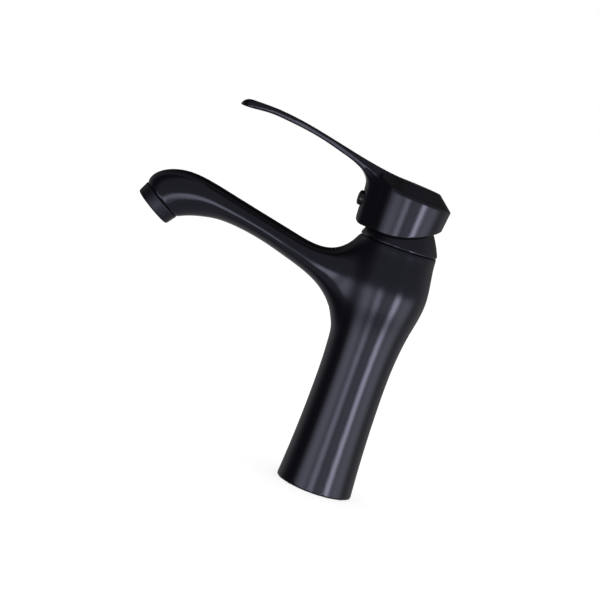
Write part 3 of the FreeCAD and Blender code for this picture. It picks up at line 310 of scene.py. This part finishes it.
def turned_metal(name, context, tone, dull_tone, smoothest, roughest):
    """Metal from a lathe: a clear metallic shine, broken by fine rings around the upright axis."""
    sizes = context.scene.faucet_sizes
    material, tree, place = new_material(name)
    rings = add_node(tree, "ShaderNodeTexWave", {
        "Vector": place, "Scale": 1 / (WAVES_PER_UNIT * sizes.lathe_pitch), "Distortion": 0.6, "Detail": 1.0},
        bands_direction="Z")
    cloud = add_node(tree, "ShaderNodeTexNoise", {
        "Vector": place, "Scale": 1 / sizes.flow_mark, "Detail": 2.0})
    colour = add_node(tree, "ShaderNodeMix", {
        MIX_SHARE: cloud.outputs["Fac"], MIX_FIRST: tone, MIX_SECOND: dull_tone}, data_type="RGBA")
    roughness = add_node(tree, "ShaderNodeMapRange", {
        "Value": rings.outputs["Fac"], "To Min": smoothest, "To Max": roughest})
    grooves = add_node(tree, "ShaderNodeBump", {
        "Height": rings.outputs["Fac"], "Strength": 0.15, "Distance": 0.01 * MM})
    shader = add_node(tree, "ShaderNodeBsdfPrincipled", {
        "Base Color": colour.outputs[MIX_RESULT], "Roughness": roughness.outputs["Result"],
        "Normal": grooves.outputs["Normal"], "Metallic": 1.0})
    add_node(tree, "ShaderNodeOutputMaterial", {"Surface": shader.outputs["BSDF"]})
    return material


def turned_brass(context):
    """Bare brass off the lathe, warm yellow: the one finish that the hollows share."""
    colours = context.scene.faucet_colours
    return bpy.data.materials.get("turned_brass") or turned_metal(
        "turned_brass", context, colours.brass, colours.brass_dull, smoothest=0.25, roughest=0.4)


def dress(thing, *materials):
    """Gives an object its materials."""
    thing.data.materials.clear()
    for material in materials:
        thing.data.materials.append(material)


def even_weight(points):
    """Eases every point alike."""
    return np.ones(len(points))


def smooth_share(value):
    """Goes softly from 0 to 1."""
    value = np.clip(value, 0, 1)
    return value * value * (3 - 2 * value)


def ease(mesh, passes, weight):
    """Draws each point towards the middle of its neighbours, by its weight, a number of times."""
    count = len(mesh.vertices)
    points = np.empty(count * 3)
    mesh.vertices.foreach_get("co", points)
    points = points.reshape(-1, 3)
    pairs = np.empty(len(mesh.edges) * 2, dtype=np.int64)
    mesh.edges.foreach_get("vertices", pairs)
    pairs = pairs.reshape(-1, 2)
    ends = np.concatenate([pairs[:, 0], pairs[:, 1]])
    others = np.concatenate([pairs[:, 1], pairs[:, 0]])
    neighbours = np.bincount(ends, minlength=count)[:, None]
    step = EASE_STEP * weight(points)[:, None]
    for _ in range(passes):
        sums = [np.bincount(ends, points[others, axis], count) for axis in range(3)]
        points += (np.stack(sums, axis=1) / neighbours - points) * step
    mesh.vertices.foreach_set("co", points.ravel())


def skin(nodes, body, name, cell, passes):
    """A fine, even mesh that stands for CAD nodes, with its sharp edges eased as a cast piece's are."""
    form = bmesh.new()
    for node in nodes:
        form.from_mesh(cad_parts[node].data)
    piece = bpy.data.objects.new(name, bpy.data.meshes.new(name))
    form.to_mesh(piece.data)
    form.free()
    bpy.context.scene.collection.objects.link(piece)
    weld = piece.modifiers.new("weld", "WELD")
    weld.merge_threshold = WELD_REACH
    cells = piece.modifiers.new("cells", "REMESH")
    cells.mode = "VOXEL"
    cells.voxel_size = cell
    shown = piece.evaluated_get(bpy.context.evaluated_depsgraph_get())
    mesh = bpy.data.meshes.new_from_object(shown)
    piece.modifiers.clear()
    piece.data = mesh
    ease(mesh, passes, even_weight)
    mesh.shade_smooth()
    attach(piece, body)
    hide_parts(*nodes)
    return piece


class FAUCET_OT_casting(bpy.types.Operator):
    """Makes the body casting's coated skin, with the spout blended into the head and a bare hose space"""

    bl_idname = "faucet.casting"
    bl_label = "Body casting"

    def execute(self, context):
        sizes = context.scene.faucet_sizes
        piece = skin(
            ["body_casting", "column_shank"], "body", "casting_skin", sizes.casting_cell, CASTING_PASSES)
        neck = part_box("bonnet_cover")[0].z
        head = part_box("cartridge_base")
        root = np.array([0.0, -head[1].x * ROOT_AHEAD, (head[0].z + neck) / 2 - sizes.seam_guard])

        def near_root(points):
            away = np.linalg.norm(points - root, axis=1)
            below_seam = smooth_share((neck - points[:, 2]) / sizes.seam_guard)
            return smooth_share(BLEND_SPREAD - away / sizes.root_blend) * below_seam

        ease(piece.data, ROOT_PASSES, near_root)
        coat = satin_black_lacquer(
            "satin_black_lacquer_on_brass", context, smoothest=0.14, roughest=0.21)
        dress(piece, coat, turned_brass(context))
        self.bare_the_hose_space(piece, sizes)
        return {"FINISHED"}

    def bare_the_hose_space(self, piece, sizes):
        """Leaves the coat off the faces inside the foot, where no spray reaches."""
        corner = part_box("inlet_block")[1]
        for face in piece.data.polygons:
            radius = math.hypot(face.center.x, face.center.y)
            inside = radius < corner.x + sizes.casting_cell and face.center.z < corner.z + sizes.casting_cell
            face.material_index = 1 if inside and face.center.z > sizes.casting_cell else 0


class FAUCET_OT_bonnet(bpy.types.Operator):
    """Makes the bonnet's coated skin, with a rounded lower rim"""

    bl_idname = "faucet.bonnet"
    bl_label = "Bonnet"

    def execute(self, context):
        sizes = context.scene.faucet_sizes
        piece = skin(["bonnet_cover"], "body", "bonnet_skin", sizes.small_cell, SMALL_PASSES)
        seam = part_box("bonnet_cover")[0].z

        def near_rim(points):
            return smooth_share(BLEND_SPREAD - (points[:, 2] - seam) / sizes.rim_blend)

        ease(piece.data, RIM_PASSES, near_rim)
        dress(piece, bpy.data.materials["satin_black_lacquer_on_brass"])
        return {"FINISHED"}


class FAUCET_OT_handle(bpy.types.Operator):
    """Makes the lever's coated skin and the index plug"""

    bl_idname = "faucet.handle"
    bl_label = "Lever handle"

    def execute(self, context):
        sizes = context.scene.faucet_sizes
        piece = skin(["lever_handle"], "handle", "lever_skin", sizes.handle_cell, HANDLE_PASSES)
        self.ease_blade(piece, sizes)
        dress(piece, satin_black_lacquer(
            "satin_black_lacquer_on_zinc", context, smoothest=0.14, roughest=0.2))
        plug = skin(["index_plug"], "handle", "index_plug_skin", sizes.small_cell, SMALL_PASSES)
        dress(plug, gloss_moulded_abs(context))
        return {"FINISHED"}

    def ease_blade(self, piece, sizes):
        """Draws the blade's underside softly down into the nose."""
        low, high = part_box("index_plug")
        middle, radius, nose = (low.z + high.z) / 2, (high.x - low.x) / 2, -low.y
        corner = high.z + sizes.nose_blend

        def near_corner(points):
            away = np.hypot(points[:, 1] + nose, points[:, 2] - corner)
            clear_of_plug = np.hypot(points[:, 0], points[:, 2] - middle) - radius
            near = smooth_share(BLEND_SPREAD - away / sizes.nose_blend)
            return near * smooth_share(clear_of_plug / sizes.plug_guard)

        ease(piece.data, NOSE_PASSES, near_corner)


class FAUCET_OT_aerator(bpy.types.Operator):
    """Makes the aerator's coated collar"""

    bl_idname = "faucet.aerator"
    bl_label = "Aerator"

    def execute(self, context):
        sizes = context.scene.faucet_sizes
        piece = skin(["aerator_housing"], "body", "aerator_collar", sizes.small_cell, SMALL_PASSES)
        dress(piece, satin_black_lacquer(
            "satin_black_lacquer_on_turned_collar", context, smoothest=0.36, roughest=0.46))
        return {"FINISHED"}


class FAUCET_OT_cartridge(bpy.types.Operator):
    """Gives the cartridge's inner pieces and the small metal pieces their finishes"""

    bl_idname = "faucet.cartridge"
    bl_label = "Cartridge and metal pieces"

    def execute(self, context):
        tones = context.scene.faucet_colours
        acetal = matt_moulding(
            "white_moulded_acetal", context, tones.acetal, tones.acetal_warm,
            smoothest=0.4, roughest=0.5, ior=1.48)
        nylon = matt_moulding(
            "grey_glass_filled_nylon", context, tones.nylon, tones.nylon_dark,
            smoothest=0.5, roughest=0.62, ior=1.53)
        alumina = matt_moulding(
            "lapped_alumina_ceramic", context, tones.alumina, tones.alumina_warm,
            smoothest=0.2, roughest=0.3, ior=1.77)
        steel = turned_metal(
            "drawn_stainless_steel", context, tones.steel, tones.steel_dark, smoothest=0.25, roughest=0.38)
        finishes = {
            acetal: ("cartridge_base", "cartridge_housing", "glide_ring", "aerator_core"),
            nylon: ("rotor_yoke", "disc_carrier"),
            alumina: ("fixed_ceramic_disc", "moving_ceramic_disc"),
            turned_brass(context): ("inlet_block", "retaining_nut", "cartridge_stem"),
            steel: ("pivot_pin", "set_screw", "aerator_screen"),
        }
        for material, names in finishes.items():
            for name in names:
                dress(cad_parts[name], material)
        return {"FINISHED"}


class FAUCET_OT_seals(bpy.types.Operator):
    """Gives the rubber seals, the gasket and the O-ring their finish"""

    bl_idname = "faucet.seals"
    bl_label = "Rubber seals"

    def execute(self, context):
        tones = context.scene.faucet_colours
        rubber = matt_moulding(
            "moulded_nitrile_rubber", context, tones.rubber, tones.rubber_bloom,
            smoothest=0.6, roughest=0.75, ior=1.52)
        for name in ("base_gasket", "inlet_port_seals", "disc_port_seals", "bonnet_o_ring", "carrier_seal",
                     "aerator_washer"):
            dress(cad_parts[name], rubber)
        return {"FINISHED"}


class FAUCET_OT_stage(bpy.types.Operator):
    """Makes the pale floor, the white backdrop, the lamps and the camera"""

    bl_idname = "faucet.stage"
    bl_label = "Stage"

    def execute(self, context):
        studio = context.scene.faucet_studio
        self.make_floor(studio)
        self.make_backdrop(studio)
        for name in ("front", "near", "screen", "strip", "board", "far"):
            self.make_lamp(studio, name)
        self.make_camera(studio)
        context.scene.view_settings.view_transform = "Standard"
        return {"FINISHED"}

    def make_floor(self, studio):
        """A floor that takes the shadow, lets the lamps below it light the foot, and is clear from below."""
        mesh = bpy.data.meshes.new("floor")
        corners = [(-FLOOR_HALF, -FLOOR_HALF, 0), (FLOOR_HALF, -FLOOR_HALF, 0),
                   (FLOOR_HALF, FLOOR_HALF, 0), (-FLOOR_HALF, FLOOR_HALF, 0)]
        mesh.from_pydata(corners, [], [(0, 1, 2, 3)])
        floor = bpy.data.objects.new("floor", mesh)
        floor.visible_glossy = False
        floor.visible_shadow = False
        bpy.context.scene.collection.objects.link(floor)
        material, tree, place = new_material("matt_white_studio_floor")
        path = add_node(tree, "ShaderNodeLightPath")
        cloud = add_node(tree, "ShaderNodeTexNoise", {"Vector": place, "Scale": 1 / FLOOR_PATCH})
        colour = add_node(tree, "ShaderNodeMix", {
            MIX_SHARE: cloud.outputs["Fac"], MIX_FIRST: studio.floor, MIX_SECOND: studio.floor_patch},
            data_type="RGBA")
        paint = add_node(tree, "ShaderNodeBsdfDiffuse", {"Color": colour.outputs[MIX_RESULT]})
        lift = add_node(tree, "ShaderNodeMath", {
            0: path.outputs["Is Camera Ray"], 1: studio.floor_lift}, operation="MULTIPLY")
        glow = add_node(tree, "ShaderNodeEmission", {"Strength": lift.outputs[0]})
        both = add_node(tree, "ShaderNodeAddShader", {0: paint.outputs[0], 1: glow.outputs[0]})
        from_below = add_node(tree, "ShaderNodeNewGeometry").outputs["Backfacing"]
        clear = add_node(tree, "ShaderNodeBsdfTransparent")
        side = add_node(tree, "ShaderNodeMixShader", {0: from_below, 1: both.outputs[0], 2: clear.outputs[0]})
        add_node(tree, "ShaderNodeOutputMaterial", {"Surface": side.outputs[0]})
        dress(floor, material)

    def make_backdrop(self, studio):
        """White where the camera looks, a dim room with two dark openings in gloss, and a fill."""
        world = bpy.data.worlds.new("white_backdrop")
        world.use_nodes = True
        tree = world.node_tree
        tree.nodes.clear()
        path = add_node(tree, "ShaderNodeLightPath")
        fill = add_node(tree, "ShaderNodeBackground", {"Color": studio.backdrop, "Strength": studio.fill})
        way = add_node(tree, "ShaderNodeTexCoord").outputs["Generated"]
        level_way = add_node(tree, "ShaderNodeVectorMath", {0: way, 1: (1, 1, 0)}, operation="MULTIPLY")
        bearing = add_node(tree, "ShaderNodeVectorMath", {0: level_way.outputs[0]}, operation="NORMALIZE")
        front, rear = studio.camera_bearing + studio.dark_bearing, studio.camera_bearing + math.pi
        ahead = Vector((math.cos(front), math.sin(front), 0))
        behind = Vector((math.cos(rear), math.sin(rear), math.tan(studio.rear_rise))).normalized()
        paleness = studio.gloss_fill
        for ray, centre, core, edge in (
                (bearing.outputs[0], ahead, studio.dark_core, studio.dark_edge),
                (way, behind, studio.rear_core, studio.rear_edge)):
            towards = add_node(tree, "ShaderNodeVectorMath", {0: ray, 1: centre}, operation="DOT_PRODUCT")
            paleness = add_node(tree, "ShaderNodeMapRange", {
                "Value": towards.outputs["Value"], "From Min": math.cos(core), "From Max": math.cos(edge),
                "To Min": 0.0, "To Max": paleness}).outputs["Result"]
        gloss = add_node(tree, "ShaderNodeBackground", {"Color": studio.backdrop, "Strength": paleness})
        white = add_node(tree, "ShaderNodeBackground", {"Color": studio.backdrop, "Strength": 1.0})
        lit = add_node(tree, "ShaderNodeMixShader", {
            0: path.outputs["Is Glossy Ray"], 1: fill.outputs[0], 2: gloss.outputs[0]})
        shown = add_node(tree, "ShaderNodeMixShader", {
            0: path.outputs["Is Camera Ray"], 1: lit.outputs[0], 2: white.outputs[0]})
        add_node(tree, "ShaderNodeOutputWorld", {"Surface": shown.outputs[0]})
        bpy.context.scene.world = world

    def make_lamp(self, studio, name):
        """An upright softbox that faces the column."""
        angle = studio.camera_bearing + getattr(studio, name + "_bearing")
        away = Vector((math.cos(angle), math.sin(angle), 0))
        lamp = bpy.data.lights.new(name + "_softbox", "AREA")
        lamp.shape = "RECTANGLE"
        lamp.size = 2 * studio.lamp_reach * math.tan(getattr(studio, name + "_width") / 2)
        lamp.size_y = studio.lamp_top - studio.lamp_bottom
        lamp.energy = getattr(studio, name + "_level") * math.pi * lamp.size * lamp.size_y
        self.feather(lamp, studio)
        item = bpy.data.objects.new(name + "_softbox", lamp)
        middle = (studio.lamp_top + studio.lamp_bottom) / 2
        item.location = away * studio.lamp_reach + Vector((0, 0, middle))
        item.rotation_euler = (-away).to_track_quat("-Z", "Y").to_euler()
        bpy.context.scene.collection.objects.link(item)

    def feather(self, lamp, studio):
        """Lets the lamp fade towards its edges, as a softbox does."""
        lamp.use_nodes = True
        tree = lamp.node_tree
        tree.nodes.clear()
        place = add_node(tree, "ShaderNodeNewGeometry").outputs["Parametric"]
        sides = add_node(tree, "ShaderNodeSeparateXYZ", {0: place})
        level = 1.0
        for side, feather in zip("XY", studio.lamp_feather):
            inset = add_node(tree, "ShaderNodeMath", {0: sides.outputs[side], 1: 0.5}, operation="PINGPONG")
            level = add_node(tree, "ShaderNodeMapRange", {
                "Value": inset.outputs[0], "From Max": feather, "To Max": level},
                interpolation_type="SMOOTHSTEP").outputs["Result"]
        glow = add_node(tree, "ShaderNodeEmission", {"Strength": level})
        add_node(tree, "ShaderNodeOutputLight", {"Surface": glow.outputs[0]})

    def make_camera(self, studio):
        """The camera at the photograph's viewing angle, turned as the photograph is."""
        aim = Vector((0, -studio.aim_forward, studio.aim_height))
        bearing, reach = studio.camera_bearing, studio.camera_reach
        spot = aim + Vector((
            math.cos(bearing) * reach, math.sin(bearing) * reach, studio.camera_height - aim.z))
        upright = (aim - spot).to_track_quat("-Z", "Y")
        data = bpy.data.cameras.new("photo_camera")
        data.sensor_width = SENSOR_WIDTH
        data.lens = studio.focal_pixels / PHOTO_SIDE * SENSOR_WIDTH
        item = bpy.data.objects.new("photo_camera", data)
        turn = Matrix.Rotation(studio.camera_roll, 4, "Z")
        item.matrix_world = Matrix.Translation(spot) @ upright.to_matrix().to_4x4() @ turn
        bpy.context.scene.collection.objects.link(item)
        bpy.context.scene.camera = item


STEPS = (FAUCET_OT_casting, FAUCET_OT_bonnet, FAUCET_OT_handle, FAUCET_OT_aerator, FAUCET_OT_cartridge,
         FAUCET_OT_seals, FAUCET_OT_stage)


class FAUCET_PT_sidebar(bpy.types.Panel):
    """Lists the faucet's pieces in the sidebar"""

    bl_idname = "FAUCET_PT_sidebar"
    bl_label = "Faucet"
    bl_space_type = "VIEW_3D"
    bl_region_type = "UI"
    bl_category = "Faucet"

    def draw(self, context):
        for step in STEPS:
            self.layout.operator(step.bl_idname)
        for group in (context.scene.faucet_sizes, context.scene.faucet_colours, context.scene.faucet_studio):
            for name in group.__annotations__:
                self.layout.prop(group, name)


CLASSES = (FaucetSizes, FaucetColours, FaucetStudio, *STEPS, FAUCET_PT_sidebar)


def register():
    """Adds the classes and hangs the settings on the scene."""
    for item in CLASSES:
        bpy.utils.register_class(item)
    bpy.types.Scene.faucet_sizes = bpy.props.PointerProperty(type=FaucetSizes)
    bpy.types.Scene.faucet_colours = bpy.props.PointerProperty(type=FaucetColours)
    bpy.types.Scene.faucet_studio = bpy.props.PointerProperty(type=FaucetStudio)


def unregister():
    """Takes the settings and the classes away again."""
    for name in ("faucet_sizes", "faucet_colours", "faucet_studio"):
        delattr(bpy.types.Scene, name)
    for item in reversed(CLASSES):
        bpy.utils.unregister_class(item)


def main():
    """Registers the add-on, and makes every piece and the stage."""
    register()
    bpy.ops.faucet.casting()
    bpy.ops.faucet.bonnet()
    bpy.ops.faucet.handle()
    bpy.ops.faucet.aerator()
    bpy.ops.faucet.cartridge()
    bpy.ops.faucet.seals()
    bpy.ops.faucet.stage()


if __name__ == "__main__":
    main()
